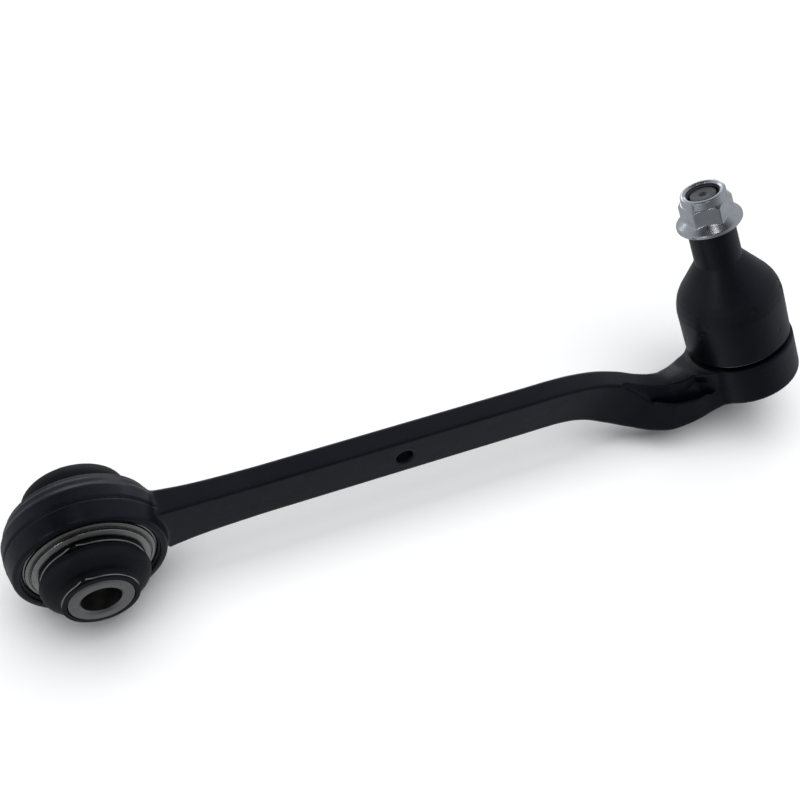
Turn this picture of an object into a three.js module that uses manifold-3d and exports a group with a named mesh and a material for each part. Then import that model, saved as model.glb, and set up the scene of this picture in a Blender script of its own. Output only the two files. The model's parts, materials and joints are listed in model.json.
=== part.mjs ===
// Suspension control arm with a sealed ball sleeve at the inner end and a ball joint at the outer end.
// Millimetres, +Z up. The origin is the centre of the inner ball sleeve, +Y runs along its bolt bore
// towards the rear and +X runs along the arm towards the ball joint.
import * as THREE from 'three';
import { mergeVertices } from 'three/addons/utils/BufferGeometryUtils.js';
import Module from 'manifold-3d';

const wasm = await Module();
wasm.setup();

// ---------------------------------------------------------------- driving sizes
const FIT_GAP = 0.3;
const AXIS_OFFSET_X = 324.5;      // bolt axis to ball centre
const AXIS_OFFSET_Y = -5.2;
const STUD_LEAN_INWARD = 18.8;    // degrees, stud tip leans towards the bolt axis
const STUD_LEAN_REAR = 21.8;      // degrees, stud tip leans towards the rear

const EYE_RADIUS = 33.3;
const EYE_HALF_WIDTH = 12.2;
const EYE_BORE = 25.3;
const EYE_MOUTH = 27.5;
const EYE_SEAT_HALF = 9.2;

const SLEEVE_RADIUS = 13.5;
const SLEEVE_BORE = 8.25;
const SLEEVE_HALF_LENGTH = 29.7;
const SLEEVE_BALL = 20;

const BAR_HALF_HEIGHT = 11.4;
const BAR_HALF_DEPTH = 5.7;
const BAR_HOLE_X = 142;
const BAR_HOLE_RADIUS = 4.1;

const HOUSING_RADIUS = 25.65;
const HOUSING_HALF_HEIGHT = 10.2;
const HOUSING_BORE = 15.5;
const BALL_RADIUS = 12;
const BALL_FLAT = 9.6;
const STUD_NECK = 6.2;
const STUD_TAPER_WIDE = 8.9;
const STUD_TAPER_NARROW = 7.5;
const THREAD_RADIUS = 6.8;
const THREAD_START = 60;
const STUD_TOP = 94.4;

const COVER_FOOT = 13.2;
const COVER_RADIUS = 24.9;
const COVER_SHOULDER = 35;
const COVER_NECK_RADIUS = 10.8;
const COVER_NECK_START = 60.4;
const COVER_TOP = 79.3;
const COVER_WALL = 1.6;

const NUT_SEAT = 79.6;
const NUT_FLANGE_RADIUS = 15;
const NUT_ACROSS_FLATS = 21;
const NUT_HEX_TOP = 92;
const NUT_COLLAR_TOP = 96.2;
const NUT_COLLAR_RADIUS = 10.2;
const NUT_TURN = 27;               // degrees, how the hexagon happens to sit
const NUT_BORE = THREAD_RADIUS + FIT_GAP;

const ROUND_STEPS = 36;
const RING_STEPS = 28;
const CLAMP_RADIUS = 0.6;
const RING_RADIUS = 0.75;

// ---------------------------------------------------------------- materials
function material(colour, roughness, metalness) {
  return new THREE.MeshStandardMaterial({ color: colour, roughness, metalness });
}
const BLACK_COAT = material(0x14171c, 0.42, 0.35);
const BLACK_RUBBER = material(0x101113, 0.75, 0.0);
const COVER_PLASTIC = material(0x15171b, 0.5, 0.0);
const TURNED_STEEL = material(0x8c8a86, 0.32, 1.0);
const WIRE_STEEL = material(0x9b9b9c, 0.3, 1.0);
const STUD_STEEL = material(0x5c5f63, 0.38, 1.0);
const ZINC_PLATE = material(0xb9c0c8, 0.28, 1.0);
const SEAT_PLASTIC = material(0xcfcabb, 0.55, 0.0);
const INSERT_PLASTIC = material(0x22252b, 0.6, 0.0);

// ---------------------------------------------------------------- frames and solids
const group = new THREE.Group();
group.name = 'control_arm';

const radians = THREE.MathUtils.degToRad;
const studAxis = new THREE.Vector3(
  -Math.tan(radians(STUD_LEAN_INWARD)), Math.tan(radians(STUD_LEAN_REAR)), 1).normalize();
const ballCentre = new THREE.Vector3(AXIS_OFFSET_X, AXIS_OFFSET_Y, 0);
const studSide = new THREE.Vector3(1, 0, 0).addScaledVector(studAxis, -studAxis.x).normalize();
const studRear = new THREE.Vector3().crossVectors(studAxis, studSide);
const studFrame = new THREE.Matrix4().makeBasis(studSide, studRear, studAxis).setPosition(ballCentre);

// Merged, position-only copy with collapsed triangles dropped and its faces turned outward.
function cleaned(geometry) {
  const bare = new THREE.BufferGeometry();
  bare.setAttribute('position', geometry.getAttribute('position').clone());
  const count = bare.getAttribute('position').count;
  const index = geometry.index ? [...geometry.index.array] : [...Array(count).keys()];
  bare.setIndex(index);
  const merged = mergeVertices(bare, 1e-4);
  const kept = [];
  const source = merged.index.array;
  for (let i = 0; i < source.length; i += 3) {
    const [a, b, c] = [source[i], source[i + 1], source[i + 2]];
    if (a !== b && b !== c && c !== a) kept.push(a, b, c);
  }
  if (signedVolume(merged.getAttribute('position'), kept) < 0) kept.reverse();
  merged.setIndex(kept);
  return merged;
}

function signedVolume(positions, index) {
  const [a, b, c] = [new THREE.Vector3(), new THREE.Vector3(), new THREE.Vector3()];
  let volume = 0;
  for (let i = 0; i < index.length; i += 3) {
    a.fromBufferAttribute(positions, index[i]);
    b.fromBufferAttribute(positions, index[i + 1]);
    c.fromBufferAttribute(positions, index[i + 2]);
    volume += a.dot(b.cross(c)) / 6;
  }
  return volume;
}

function solid(geometry) {
  const clean = cleaned(geometry);
  const vertProperties = new Float32Array(clean.getAttribute('position').array);
  const triVerts = new Uint32Array(clean.index.array);
  return new wasm.Manifold(new wasm.Mesh({ numProp: 3, vertProperties, triVerts }));
}

function geometryOf(body) {
  const mesh = body.getMesh();
  const geometry = new THREE.BufferGeometry();
  const positions = new Float32Array(mesh.vertProperties);
  geometry.setAttribute('position', new THREE.BufferAttribute(positions, 3));
  geometry.setIndex([...mesh.triVerts]);
  return geometry;
}

function place(name, geometry, look) {
  const clean = cleaned(geometry);
  clean.computeVertexNormals();
  const mesh = new THREE.Mesh(clean, look);
  mesh.name = name;
  group.add(mesh);
}

// Turned body about +Y from [radius, height] pairs.
function turned(profile, steps = ROUND_STEPS) {
  return new THREE.LatheGeometry(profile.map(([r, y]) => new THREE.Vector2(r, y)), steps);
}

// Turned body about the stud axis; heights are measured from the ball centre.
function turnedOnStud(profile, steps = ROUND_STEPS) {
  return turned(profile, steps).rotateX(Math.PI / 2).applyMatrix4(studFrame);
}

function closed(profile) {
  return [...profile, profile[0]];
}

// Points on a circular arc in the profile plane, angles in degrees from the radial direction.
function arc(radius, from, to, count, centre = [0, 0]) {
  return Array.from({ length: count + 1 }, (_, i) => {
    const angle = radians(from + (to - from) * i / count);
    return [centre[0] + radius * Math.cos(angle), centre[1] + radius * Math.sin(angle)];
  });
}

// Smooth open profile through a few [radius, height] pairs.
function flowing(points, count) {
  const curve = new THREE.SplineCurve(points.map(([r, y]) => new THREE.Vector2(r, y)));
  return curve.getPoints(count).map((p) => [p.x, p.y]);
}

// Body lofted through rings of equal point count, with flat ends.
function loft(rings) {
  const size = rings[0].length;
  const positions = rings.flat().flatMap((p) => [p.x, p.y, p.z]);
  const index = [];
  for (let ring = 0; ring < rings.length - 1; ring++) {
    for (let i = 0; i < size; i++) {
      const a = ring * size + i;
      const b = ring * size + (i + 1) % size;
      index.push(a, b, a + size, b, b + size, a + size);
    }
  }
  const last = (rings.length - 1) * size;
  for (let i = 1; i < size - 1; i++) {
    index.push(0, i + 1, i);
    index.push(last, last + i, last + i + 1);
  }
  const geometry = new THREE.BufferGeometry();
  geometry.setAttribute('position', new THREE.Float32BufferAttribute(positions, 3));
  geometry.setIndex(index);
  return geometry;
}

// ---------------------------------------------------------------- forged arm
// Stations of the bar, measured from the ball centre in the stud frame: along, across and up give the
// middle of the section, then its half height, half depth and roll in degrees.
const ROLL = STUD_LEAN_REAR;

function straightStation(x, halfHeight, halfDepth) {
  const centre = new THREE.Vector3(x, 0, 0).sub(ballCentre);
  const [along, across, up] = [centre.dot(studSide), centre.dot(studRear), centre.dot(studAxis)];
  return { along, across, up, halfHeight, halfDepth, roll: ROLL };
}

const barStations = [
  straightStation(28, 14, 7.2),
  straightStation(36, 13.2, 6.6),
  straightStation(46, 12.4, 6.1),
  straightStation(60, 11.8, 5.8),
  straightStation(80, BAR_HALF_HEIGHT, BAR_HALF_DEPTH),
  straightStation(120, BAR_HALF_HEIGHT, BAR_HALF_DEPTH),
  straightStation(205, BAR_HALF_HEIGHT, BAR_HALF_DEPTH),
  straightStation(221, BAR_HALF_HEIGHT, BAR_HALF_DEPTH),
  { along: -88.5, across: 4.8, up: 29.2, halfHeight: 11.5, halfDepth: 5.7, roll: ROLL },
  { along: -80, across: 4.7, up: 24.6, halfHeight: 11.9, halfDepth: 5.8, roll: ROLL },
  { along: -70.7, across: 4.3, up: 17.6, halfHeight: 12.3, halfDepth: 6.2, roll: 21 },
  { along: -61.4, across: 3.0, up: 9.9, halfHeight: 12.4, halfDepth: 6.8, roll: 19 },
  { along: -54, across: -0.2, up: 5.5, halfHeight: 12.7, halfDepth: 8.0, roll: 15 },
  { along: -46.5, across: -2.2, up: 2.6, halfHeight: 12.4, halfDepth: 9.6, roll: 10 },
  { along: -38, across: -1.8, up: 0.8, halfHeight: 10.9, halfDepth: 11.6, roll: 5 },
  { along: -30, across: -0.6, up: 0, halfHeight: 10.2, halfDepth: 13, roll: 1 },
  { along: -20, across: 0, up: 0, halfHeight: 10.2, halfDepth: 14.6, roll: 0 },
];

// Cut corners of the section, walked front-low, front-high, rear-high, rear-low.
const CORNER_CUTS = [1.6, 0.7, 1.8, 1.6];

function sectionRing(station, tangent) {
  const roll = radians(station.roll);
  const depth = new THREE.Vector3(0, Math.cos(roll), Math.sin(roll));
  depth.addScaledVector(tangent, -depth.dot(tangent)).normalize();
  const height = new THREE.Vector3().crossVectors(tangent, depth);
  const middle = new THREE.Vector3(station.along, station.across, station.up);
  const corners = [[-1, -1], [-1, 1], [1, 1], [1, -1]];
  const ring = [];
  corners.forEach(([d, h], i) => {
    const cut = CORNER_CUTS[i];
    const full = [d * station.halfDepth, h * station.halfHeight];
    const onSide = [full[0], full[1] - h * cut];
    const onEnd = [full[0] - d * cut, full[1]];
    const pair = i % 2 === 0 ? [onEnd, onSide] : [onSide, onEnd];
    for (const [a, b] of pair) {
      ring.push(middle.clone().addScaledVector(depth, a).addScaledVector(height, b));
    }
  });
  return ring.map((p) => p.applyMatrix4(studFrame));
}

const BLENDED_SIZES = ['across', 'up', 'halfHeight', 'halfDepth', 'roll'];
const RINGS_PER_SPAN = 3;

function barLoft() {
  const spans = barStations.length - 1;
  const rings = [];
  for (let ring = 0; ring < spans * RINGS_PER_SPAN; ring++) {
    rings.push(ringBetween(Math.floor(ring / RINGS_PER_SPAN), (ring % RINGS_PER_SPAN) / RINGS_PER_SPAN));
  }
  rings.push(ringBetween(spans - 1, 1));
  return loft(rings);
}

// Section ring part of the way from station i to the next one.
function ringBetween(i, t) {
  const [from, to] = [barStations[i], barStations[i + 1]];
  const span = to.along - from.along;
  const station = { along: from.along + span * t };
  for (const key of BLENDED_SIZES) {
    station[key] = hermite(from[key], to[key], slope(key, i) * span, slope(key, i + 1) * span, t);
  }
  const rise = THREE.MathUtils.lerp(slope('up', i), slope('up', i + 1), t);
  return sectionRing(station, new THREE.Vector3(1, 0, rise).normalize());
}

// Slope of one size at station i, held back so that the curve never overshoots its stations.
function slope(key, i) {
  const last = barStations.length - 1;
  const rate = (j) => (barStations[j + 1][key] - barStations[j][key])
    / (barStations[j + 1].along - barStations[j].along);
  if (i === 0) return rate(0);
  if (i === last) return rate(last - 1);
  const [left, right] = [rate(i - 1), rate(i)];
  return left * right <= 0 ? 0 : 2 * left * right / (left + right);
}

// Cubic from a to b; riseA and riseB are the end slopes times the span.
function hermite(a, b, riseA, riseB, t) {
  const t2 = t * t;
  const t3 = t2 * t;
  return (2 * t3 - 3 * t2 + 1) * a + (t3 - 2 * t2 + t) * riseA
    + (-2 * t3 + 3 * t2) * b + (t3 - t2) * riseB;
}

// Recess that splits the end of the bar into a rear web and a lower front rib. Each row is the
// distance along, then the web face, the floor and the rib crest as [across, up] pairs.
const POCKET_ROWS = [
  { along: -66, web: [-3.4, 27], floor: [-4.6, 25.2], crest: [-7.6, 25.6] },
  { along: -60, web: [-3.6, 20.5], floor: [-5, 16.5], crest: [-7.9, 17.6] },
  { along: -55.5, web: [-4.1, 14], floor: [-6, 8.6], crest: [-8.9, 12.2] },
  { along: -51, web: [-5.9, 11], floor: [-7.2, 4.5], crest: [-10, 8.4] },
  { along: -45.5, web: [-7.6, 8], floor: [-8.9, 0], crest: [-11.8, 5.6] },
  { along: -39, web: [-7.7, 6], floor: [-9.3, -2.5], crest: [-12.6, 3.6] },
  { along: -33, web: [-6.4, 6], floor: [-9.6, -3], crest: [-13.2, 2.4] },
  { along: -30.9, web: [-6, 6], floor: [-10.2, -2.5], crest: [-13.8, 2.2] },
  { along: -27, web: [-10.2, 6], floor: [-12.6, -1], crest: [-15.4, 2.2] },
  { along: -22.5, web: [-14.8, 6], floor: [-16, 0.5], crest: [-18.8, 2] },
];
const POCKET_CLEAR_UP = 26;
const POCKET_CLEAR_FRONT = -30;

function pocketCutter() {
  const rings = POCKET_ROWS.map(({ along, web, floor, crest }) => [
    [web[0] + 0.4, POCKET_CLEAR_UP],
    [POCKET_CLEAR_FRONT, POCKET_CLEAR_UP],
    [POCKET_CLEAR_FRONT, crest[1] - 3.4],
    [crest[0] - 2.2, crest[1] - 1.6],
    [crest[0] - 0.9, crest[1] - 0.2],
    [crest[0] + 0.7, crest[1]],
    [crest[0] + 2.0, crest[1] - 1.5],
    [floor[0] - 0.6, floor[1] + 0.3],
    [floor[0] + 0.8, floor[1] + 0.5],
    [web[0], web[1]],
  ].map(([across, up]) => new THREE.Vector3(along, across, up).applyMatrix4(studFrame)));
  return loft(rings);
}

function armForging() {
  const eyeDraft = 1.3;
  const eye = turned([
    [0, -EYE_HALF_WIDTH],
    [EYE_RADIUS - eyeDraft - 0.9, -EYE_HALF_WIDTH],
    [EYE_RADIUS - eyeDraft, -EYE_HALF_WIDTH + 1.2],
    [EYE_RADIUS - 0.1, -3.6],
    [EYE_RADIUS - 0.6, -2.9],
    [EYE_RADIUS - 0.6, -2.3],
    [EYE_RADIUS, -1.6],
    [EYE_RADIUS, 3.4],
    [EYE_RADIUS - 0.9, 6.6],
    [EYE_RADIUS - 2.1, 9.8],
    [EYE_RADIUS - 3.1, EYE_HALF_WIDTH],
    [0, EYE_HALF_WIDTH],
  ]);
  const eyeBore = turned([
    [0, -EYE_HALF_WIDTH - 1],
    [EYE_MOUTH + 0.9, -EYE_HALF_WIDTH - 1],
    [EYE_MOUTH, -EYE_HALF_WIDTH + 0.6],
    [EYE_MOUTH, -EYE_SEAT_HALF],
    [EYE_BORE, -EYE_SEAT_HALF],
    [EYE_BORE, EYE_SEAT_HALF],
    [EYE_MOUTH, EYE_SEAT_HALF],
    [EYE_MOUTH, EYE_HALF_WIDTH - 0.6],
    [EYE_MOUTH + 0.9, EYE_HALF_WIDTH + 1],
    [0, EYE_HALF_WIDTH + 1],
  ]);
  const housing = turnedOnStud([
    [0, -HOUSING_HALF_HEIGHT],
    [16.8, -HOUSING_HALF_HEIGHT],
    [16.8, -11.3],
    [20.2, -11.3],
    [21.4, -HOUSING_HALF_HEIGHT],
    [HOUSING_RADIUS - 1.1, -HOUSING_HALF_HEIGHT],
    [HOUSING_RADIUS, -HOUSING_HALF_HEIGHT + 1.1],
    [HOUSING_RADIUS, HOUSING_HALF_HEIGHT - 0.8],
    [HOUSING_RADIUS - 0.8, HOUSING_HALF_HEIGHT],
    [20.2, HOUSING_HALF_HEIGHT],
    [20.2, 12.2],
    [19.4, 13.4],
    [0, 13.4],
  ]);
  const housingBore = turnedOnStud([
    [0, -12.5],
    [16.7, -12.5],
    [16.7, -10.7],
    [17.8, -10.7],
    [17.8, -8.9],
    [HOUSING_BORE, -8.9],
    [HOUSING_BORE, 8],
    [13.2, 8],
    [13.2, 10],
    [15.6, 14.6],
    [0, 14.6],
  ]);
  const floorTrim = turnedOnStud([
    [0, -40],
    [90, -40],
    [90, -HOUSING_HALF_HEIGHT - 0.05],
    [21.5, -HOUSING_HALF_HEIGHT - 0.05],
    [21.5, -11.4],
    [0, -11.4],
  ]);
  const barHole = turned([[0, -20], [BAR_HOLE_RADIUS, -20], [BAR_HOLE_RADIUS, 20], [0, 20]], 32)
    .translate(BAR_HOLE_X, 0, 0);
  const body = solid(eye)
    .add(solid(barLoft()).subtract(solid(pocketCutter())).subtract(solid(floorTrim)))
    .add(solid(housing))
    .subtract(solid(eyeBore))
    .subtract(solid(housingBore))
    .subtract(solid(barHole));
  place('arm_forging', geometryOf(body), BLACK_COAT);
}

// ---------------------------------------------------------------- inner ball sleeve
function ballSleeve() {
  const ballEdge = THREE.MathUtils.radToDeg(Math.acos(SLEEVE_RADIUS / SLEEVE_BALL));
  place('ball_sleeve', turned(closed([
    [SLEEVE_BORE + 0.8, -SLEEVE_HALF_LENGTH],
    [SLEEVE_RADIUS - 0.7, -SLEEVE_HALF_LENGTH],
    [SLEEVE_RADIUS, -SLEEVE_HALF_LENGTH + 0.7],
    ...arc(SLEEVE_BALL, -ballEdge, ballEdge, 10),
    [SLEEVE_RADIUS, SLEEVE_HALF_LENGTH - 0.7],
    [SLEEVE_RADIUS - 0.7, SLEEVE_HALF_LENGTH],
    [SLEEVE_BORE + 0.8, SLEEVE_HALF_LENGTH],
    [SLEEVE_BORE, SLEEVE_HALF_LENGTH - 0.8],
    [SLEEVE_BORE, -SLEEVE_HALF_LENGTH + 0.8],
  ])), TURNED_STEEL);
}

// side is -1 for the front and +1 for the rear of the eye.
function sleeveSide(label, side) {
  const flipped = (profile) => profile.map(([r, y]) => [r, side * y]);
  const raceTop = EYE_SEAT_HALF - 0.2;
  const raceSphere = SLEEVE_BALL + FIT_GAP;
  const sphereAt = (y) => THREE.MathUtils.radToDeg(Math.asin(y / raceSphere));
  place(`sleeve_race_${label}`, turned(flipped(closed([
    ...arc(raceSphere, sphereAt(0.15), sphereAt(raceTop), 5),
    [EYE_BORE - FIT_GAP - 0.6, raceTop],
    [EYE_BORE - FIT_GAP, raceTop - 0.6],
    [EYE_BORE - FIT_GAP, 0.15],
  ]))), SEAT_PLASTIC);
  place(`closing_ring_${label}`, turned(flipped(closed([
    [EYE_MOUTH - FIT_GAP, 9.5],
    [EYE_MOUTH - FIT_GAP, 10.6],
    [24.7, 11.0],
    [24.2, 12.6],
    [22.6, 13.4],
    [19.9, 13.7],
    [19.9, 16.6],
    [19.0, 16.6],
    [19.0, 12.9],
    [22.2, 12.2],
    [23.2, 9.5],
  ]))), TURNED_STEEL);
  place(`${label}_boot`, turned(flipped(bootProfile(label)), RING_STEPS), BLACK_RUBBER);
  bootWire(`${label}_boot_foot_wire`, 21.5, side * 15.2, 103);
  bootWire(`${label}_boot_collar_wire`, 15.25, side * 27.8, 106);
}

// Bulge of each boot, outside and inside, between its foot and its collar. The rear one stands fuller.
const BOOT_BULGES = {
  front: [[22.1, 17.4], [22.5, 19.4], [21.3, 22.3], [18.5, 24.4], [15.9, 25.3]],
  rear: [[22.0, 17.4], [22.7, 19.6], [22.4, 22.4], [21.1, 24.9], [18.2, 26.6]],
};
const BOOT_INSIDES = {
  front: [[14.4, 24.8], [16.8, 23.5], [19.3, 21.5], [20.8, 19.4], [20.5, 17.9]],
  rear: [[14.6, 26.1], [18.2, 24.9], [20.6, 22.4], [21.1, 19.8], [20.6, 17.9]],
};

// Half section of a sleeve boot: foot on the closing ring, one wide bulge, collar on the sleeve.
function bootProfile(label) {
  const outside = flowing([
    [21.8, 13.95], [20.9, 14.4], [20.45, 15.2], [20.9, 15.9], ...BOOT_BULGES[label],
    [14.6, 27.0], [14.3, 27.8], [14.8, 28.6], [15.6, 28.9], [15.6, 29.3],
  ], 22);
  const inside = flowing([
    [13.85, 29.4], [13.85, 27.3], ...BOOT_INSIDES[label], [20.15, 16.6], [20.15, 14.2],
  ], 9);
  return closed([...outside, ...inside]);
}

// Sprung wire clamp: nearly a full turn with the two tails bent outward past each other.
function bootWire(name, radius, y, endAngle) {
  const gapAngle = 9;
  const points = [];
  const steps = 30;
  for (let i = 0; i <= steps; i++) {
    const angle = radians(endAngle + gapAngle / 2 + (360 - gapAngle) * i / steps);
    const lift = i === 0 || i === steps ? 1.3 : 0;
    const reach = radius + lift;
    points.push(new THREE.Vector3(reach * Math.cos(angle), y, reach * Math.sin(angle)));
  }
  place(name, wireAlong(points), WIRE_STEEL);
}

function wireAlong(points) {
  const section = new THREE.Shape().absarc(0, 0, CLAMP_RADIUS, 0, 2 * Math.PI, false);
  const path = new THREE.CatmullRomCurve3(points);
  return new THREE.ExtrudeGeometry(section, {
    steps: 30, curveSegments: 3, bevelEnabled: false, extrudePath: path,
  });
}

// ---------------------------------------------------------------- ball joint
function ballSeats() {
  const sphere = BALL_RADIUS + FIT_GAP;
  const sphereAt = (z) => THREE.MathUtils.radToDeg(Math.asin(z / sphere));
  const wall = HOUSING_BORE - FIT_GAP;
  place('ball_seat_upper', turnedOnStud(closed([
    ...arc(sphere, sphereAt(0.15), sphereAt(7.6), 5),
    [wall - 0.6, 7.7],
    [wall, 7.1],
    [wall, 0.15],
  ]), RING_STEPS), SEAT_PLASTIC);
  place('ball_seat_lower', turnedOnStud(closed([
    ...arc(sphere, sphereAt(-8.6), sphereAt(-0.15), 5),
    [wall, -0.15],
    [wall, -8.0],
    [wall - 0.6, -8.6],
  ]), RING_STEPS), SEAT_PLASTIC);
}

function housingCoverPlate() {
  place('housing_cover_plate', turnedOnStud([
    [0, -13.4], [6.5, -13.25], [10.5, -12.5], [13.2, -11.0], [14.2, -10.4], [17.5, -10.4],
    [17.5, -9.2], [13.8, -9.2], [12.2, -10.4], [9.8, -11.4], [6.2, -12.1], [0, -12.25],
  ], RING_STEPS), TURNED_STEEL);
}

function ballStud() {
  const flatEdge = -THREE.MathUtils.radToDeg(Math.asin(BALL_FLAT / BALL_RADIUS));
  const neckEdge = THREE.MathUtils.radToDeg(Math.acos(STUD_NECK / BALL_RADIUS));
  place('ball_stud', turnedOnStud([
    [0, -BALL_FLAT],
    ...arc(BALL_RADIUS, flatEdge, neckEdge, 10),
    [STUD_NECK, 14.6],
    [STUD_NECK + 0.9, 17],
    [STUD_TAPER_WIDE, 20.6],
    [STUD_TAPER_WIDE, 23],
    [STUD_TAPER_NARROW, 56],
    [6.1, 57.4],
    [6.1, THREAD_START - 0.8],
    [THREAD_RADIUS, THREAD_START],
    [THREAD_RADIUS, STUD_TOP - 1.4],
    [THREAD_RADIUS - 1.4, STUD_TOP],
    [0, STUD_TOP],
  ]), STUD_STEEL);
}

// Bellows inside the cover: foot on the housing collar, lip on the wide end of the taper.
function dustBoot() {
  const outside = flowing([
    [22.6, 10.7], [22.0, 11.4], [21.75, 12.1], [22.2, 13.0],
    [22.7, 15.5], [22.4, 19.0], [19.6, 22.6], [15.4, 25.0],
    [12.4, 27.0], [11.5, 28.6], [12.1, 30.0], [12.2, 31.4],
  ], 18);
  const inside = flowing([
    [9.4, 31.6], [9.4, 27.0], [13.8, 23.6], [18.0, 21.2],
    [20.6, 18.4], [20.9, 14.6], [20.5, 12.8], [20.5, 10.7],
  ], 9);
  place('dust_boot', turnedOnStud(closed([...outside, ...inside]), RING_STEPS), BLACK_RUBBER);
}

function dustBootRings() {
  const ring = (radius, height) => new THREE.TorusGeometry(radius, RING_RADIUS, 6, RING_STEPS)
    .translate(0, 0, height).applyMatrix4(studFrame);
  place('dust_boot_foot_ring', ring(22.85, 12.0), WIRE_STEEL);
  place('dust_boot_lip_ring', ring(12.5, 28.7), WIRE_STEEL);
}

function studCover() {
  const outside = [
    [COVER_RADIUS + 0.5, COVER_FOOT],
    [COVER_RADIUS + 0.5, COVER_FOOT + 1.4],
    [COVER_RADIUS + 0.1, COVER_FOOT + 2.2],
    [COVER_RADIUS, COVER_SHOULDER],
    [COVER_RADIUS - 0.6, COVER_SHOULDER + 3.6],
    [COVER_RADIUS - 1.7, COVER_SHOULDER + 7.0],
    [COVER_RADIUS - 3.5, COVER_SHOULDER + 10.3],
    [COVER_NECK_RADIUS + 0.3, COVER_NECK_START - 0.4],
    [COVER_NECK_RADIUS, COVER_NECK_START],
    [COVER_NECK_RADIUS, COVER_TOP - 0.5],
    [COVER_NECK_RADIUS - 0.5, COVER_TOP],
  ];
  const inside = [
    [9.1, COVER_TOP],
    [9.1, COVER_NECK_START - 0.6],
    [COVER_RADIUS - 5.2, COVER_SHOULDER + 9.6],
    [COVER_RADIUS - 3.2, COVER_SHOULDER + 6.0],
    [COVER_RADIUS - COVER_WALL - 0.4, COVER_SHOULDER + 1.5],
    [COVER_RADIUS - COVER_WALL, COVER_FOOT],
  ];
  place('stud_cover', turnedOnStud(closed([...outside, ...inside])), COVER_PLASTIC);
}

// ---------------------------------------------------------------- lock nut
function lockNut() {
  const flange = turnedOnStud([
    [0, NUT_SEAT],
    [NUT_FLANGE_RADIUS - 0.4, NUT_SEAT],
    [NUT_FLANGE_RADIUS, NUT_SEAT + 0.5],
    [NUT_FLANGE_RADIUS, NUT_SEAT + 1.6],
    [NUT_FLANGE_RADIUS - 0.7, NUT_SEAT + 2.1],
    [11.4, NUT_SEAT + 4.3],
    [0, NUT_SEAT + 4.3],
  ]);
  const hexShape = new THREE.Shape();
  const cornerRadius = NUT_ACROSS_FLATS / 2 / Math.cos(Math.PI / 6);
  for (let i = 0; i < 6; i++) {
    const angle = radians(NUT_TURN + 60 * i);
    const corner = [cornerRadius * Math.cos(angle), cornerRadius * Math.sin(angle)];
    if (i === 0) hexShape.moveTo(...corner);
    else hexShape.lineTo(...corner);
  }
  const hexBase = NUT_SEAT + 1;
  const hex = new THREE.ExtrudeGeometry(hexShape, { depth: NUT_HEX_TOP - hexBase, bevelEnabled: false })
    .translate(0, 0, hexBase).applyMatrix4(studFrame);
  const chamfer = turnedOnStud([
    [0, NUT_SEAT],
    [cornerRadius + 1, NUT_SEAT],
    [cornerRadius + 1, NUT_HEX_TOP - 2.4],
    [NUT_COLLAR_RADIUS, NUT_HEX_TOP],
    [0, NUT_HEX_TOP],
  ]);
  const collar = turnedOnStud([
    [0, NUT_HEX_TOP - 1],
    [NUT_COLLAR_RADIUS, NUT_HEX_TOP - 1],
    [NUT_COLLAR_RADIUS, NUT_COLLAR_TOP - 1.8],
    [NUT_COLLAR_RADIUS - 0.6, NUT_COLLAR_TOP - 0.5],
    [NUT_COLLAR_RADIUS - 1.6, NUT_COLLAR_TOP],
    [0, NUT_COLLAR_TOP],
  ]);
  const bore = turnedOnStud([
    [0, NUT_SEAT - 1],
    [NUT_BORE + 0.9, NUT_SEAT - 1],
    [NUT_BORE, NUT_SEAT + 1],
    [NUT_BORE, NUT_HEX_TOP - 1],
    [NUT_COLLAR_RADIUS - 1.2, NUT_HEX_TOP - 0.4],
    [NUT_COLLAR_RADIUS - 1.2, NUT_COLLAR_TOP - 0.9],
    [NUT_COLLAR_RADIUS - 2.0, NUT_COLLAR_TOP + 1],
    [0, NUT_COLLAR_TOP + 1],
  ]);
  const body = solid(hex).intersect(solid(chamfer))
    .add(solid(flange))
    .add(solid(collar))
    .subtract(solid(bore));
  place('lock_nut', geometryOf(body), ZINC_PLATE);
  place('nut_insert', turnedOnStud(closed([
    [NUT_BORE, NUT_HEX_TOP + 0.3],
    [NUT_COLLAR_RADIUS - 1.5, NUT_HEX_TOP + 0.3],
    [NUT_COLLAR_RADIUS - 1.5, NUT_COLLAR_TOP - 1.6],
    [NUT_BORE, NUT_COLLAR_TOP - 1.6],
  ]), RING_STEPS), INSERT_PLASTIC);
}

armForging();
ballSleeve();
sleeveSide('front', -1);
sleeveSide('rear', 1);
ballSeats();
housingCoverPlate();
ballStud();
dustBoot();
dustBootRings();
studCover();
lockNut();

export default group;
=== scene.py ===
"""Suspension control arm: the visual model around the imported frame.

The forging is meshed from a distance function, so its fillets and rounded edges are real surface. The
other pieces are lathes with rounded profiles, and wires along a path. The arm's sizes are in millimetres,
as in the design, and each of its meshes is scaled to metres as it is made. Floor and lights are in metres.
"""
import json
import math

import bmesh
import bpy
import numpy as np
from mathutils import Matrix, Vector


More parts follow.
